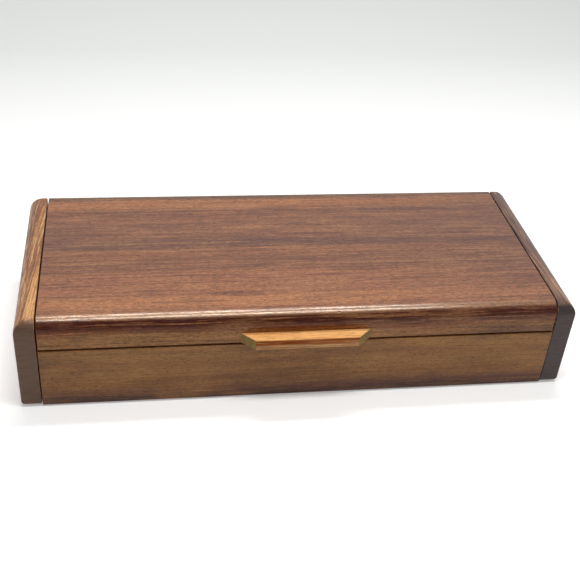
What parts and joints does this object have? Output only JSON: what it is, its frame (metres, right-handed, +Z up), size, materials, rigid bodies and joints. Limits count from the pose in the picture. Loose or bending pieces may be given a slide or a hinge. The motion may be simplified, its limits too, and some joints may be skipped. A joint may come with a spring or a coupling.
{
  "type": "valet box with drawer",
  "caption": "Low hardwood valet box: lid hinged between rounded end panels over a divided felt-lined tray, small mitred pull, and a full-width drawer below.",
  "frame": {"origin": "on the table, at the middle of the footprint with the lid's pull included", "axes": "+X to the right along the box, +Y from the front to the back, +Z up"},
  "size_m": [0.3056, 0.1342, 0.0565],
  "materials": {
    "lid_wood": "satin oil",
    "front_wood": "satin oil",
    "end_wood": "satin oil",
    "pull_wood": "satin oil",
    "light_wood": "fine sanded",
    "felt": "pressed felt",
    "brass": "turned"
  },
  "bodies": {
    "case": {"left_end": "end_wood", "right_end": "end_wood", "back_board": "front_wood", "case_dowels": "light_wood", "case_bottom": "light_wood", "drawer_stop_pins": "brass", "tray_deck": "light_wood", "tray_front_rail": "front_wood", "tray_divider_left": "front_wood", "tray_divider_right": "front_wood", "tray_divider_cross": "front_wood", "tray_linings": "felt", "felt_feet": "felt", "hinge_pin_left": "brass", "hinge_pin_right": "brass", "lid_bumpers": "felt"},
    "lid": {"lid_panel": "lid_wood", "lid_lining": "felt", "lid_pull": "pull_wood", "pull_dowels": "light_wood"},
    "drawer": {"drawer_front": "front_wood", "drawer_side_left": "light_wood", "drawer_side_right": "light_wood", "drawer_back": "light_wood", "drawer_bottom": "light_wood", "drawer_partition": "light_wood", "drawer_linings": "felt"}
  },
  "joints": [
    {"name": "lid_hinge", "type": "hinge", "parent": "case", "child": "lid", "pos_m": [0, 0.05855, 0.0474], "axis": [-1, 0, 0], "range_deg": [0, 97]},
    {"name": "drawer_slide", "type": "slide", "parent": "case", "child": "drawer", "axis": [0, -1, 0], "range_m": [0, 0.086]}
  ]
}
